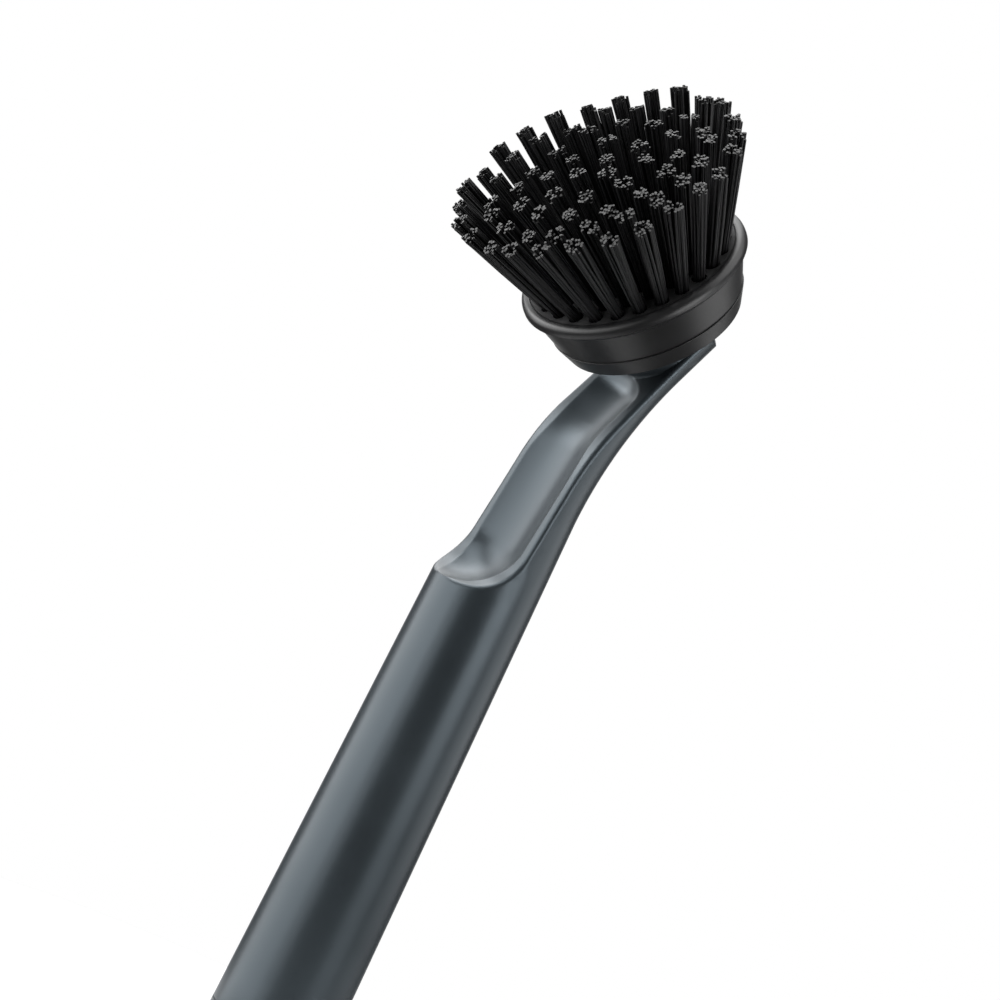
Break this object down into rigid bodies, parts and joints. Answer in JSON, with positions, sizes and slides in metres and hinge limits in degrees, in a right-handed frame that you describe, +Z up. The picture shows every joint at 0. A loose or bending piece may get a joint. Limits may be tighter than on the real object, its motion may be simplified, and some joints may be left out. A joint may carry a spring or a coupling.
{
  "type": "dish brush",
  "caption": "Dish brush with a round splayed-bristle head that pulls off a bent neck, a thumb scoop with a shallow channel, and a thick tapered grip with a hanging hole.",
  "frame": {"origin": "centre of the flat end of the grip", "axes": "+Z up the grip towards the head, -Y the side of the thumb scoop and the bristles, the brush is mirror-symmetric about X = 0"},
  "size_m": [0.0756, 0.074, 0.2729],
  "materials": {
    "grip_plastic": "satin blue-grey moulding",
    "head_plastic": "matte dark grey moulding",
    "plate_plastic": "matte black moulding",
    "bristle": "black nylon filaments with lighter cut ends",
    "staple_steel": "flat staple wire"
  },
  "bodies": {
    "handle": {"handle": "grip_plastic", "end_cap": "grip_plastic"},
    "head": {"head_base": "head_plastic", "head_bowl": "head_plastic", "tuft_plate": "plate_plastic", "tufts_ring_1": "bristle", "tufts_ring_2": "bristle", "tufts_ring_3": "bristle", "tufts_ring_4": "bristle", "tufts_ring_5": "bristle", "anchors_ring_1": "staple_steel", "anchors_ring_2": "staple_steel", "anchors_ring_3": "staple_steel", "anchors_ring_4": "staple_steel", "anchors_ring_5": "staple_steel"}
  },
  "joints": [
    {"name": "head_pull_off", "type": "slide", "parent": "handle", "child": "head", "axis": [0, -0.7848, 0.6198], "range_m": [0, 0.013]}
  ]
}
